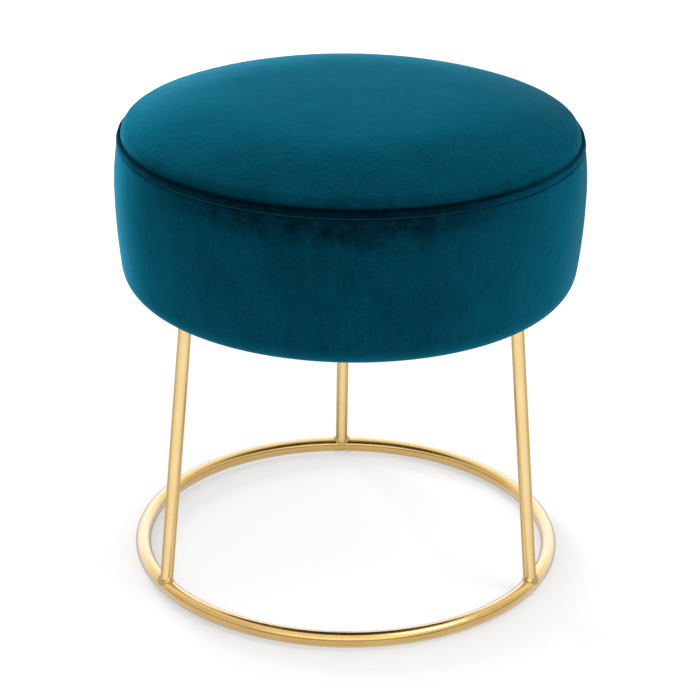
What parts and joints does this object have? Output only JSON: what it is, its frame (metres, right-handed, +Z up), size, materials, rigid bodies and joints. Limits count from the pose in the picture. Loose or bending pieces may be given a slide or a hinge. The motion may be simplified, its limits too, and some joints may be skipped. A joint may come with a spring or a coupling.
{
  "type": "pouf",
  "caption": "Round padded pouf in teal velvet with a topstitched seam round the crowned top, on a gold bar base of leaning legs welded to a floor ring.",
  "frame": {"origin": "on the floor, in the middle of the ring and under the middle of the seat", "axes": "+Z up, +Y towards the rear leg, so -Y is the pictured front and +X is its right"},
  "size_m": [0.3499, 0.35, 0.37],
  "materials": {
    "velvet": "teal cut-pile velvet",
    "wadding": "white polyester wadding",
    "foam": "open-cell polyurethane foam",
    "plywood": "raw birch plywood",
    "dust_cover": "black non-woven",
    "zinc_steel": "bright zinc",
    "gold_metal": "satin gold plating on steel bar",
    "clear_pad": "clear silicone"
  },
  "bodies": {
    "root": {"cover_top_panel": "velvet", "cover_side_band": "velvet", "wadding": "wadding", "foam_top_pad": "foam", "foam_edge_wrap": "foam", "foam_core": "foam", "seat_board": "plywood", "dust_cover": "dust_cover", "hem_staples": "zinc_steel", "dust_cover_staples": "zinc_steel", "t_nuts": "zinc_steel", "screws": "zinc_steel", "washers": "zinc_steel", "plate_rear": "gold_metal", "plate_weld_rear": "gold_metal", "leg_rear": "gold_metal", "foot_weld_rear": "gold_metal", "glide_rear": "clear_pad", "plate_front_left": "gold_metal", "plate_weld_front_left": "gold_metal", "leg_front_left": "gold_metal", "foot_weld_front_left": "gold_metal", "glide_front_left": "clear_pad", "plate_front_right": "gold_metal", "plate_weld_front_right": "gold_metal", "leg_front_right": "gold_metal", "foot_weld_front_right": "gold_metal", "glide_front_right": "clear_pad", "floor_ring": "gold_metal"}
  },
  "joints": []
}
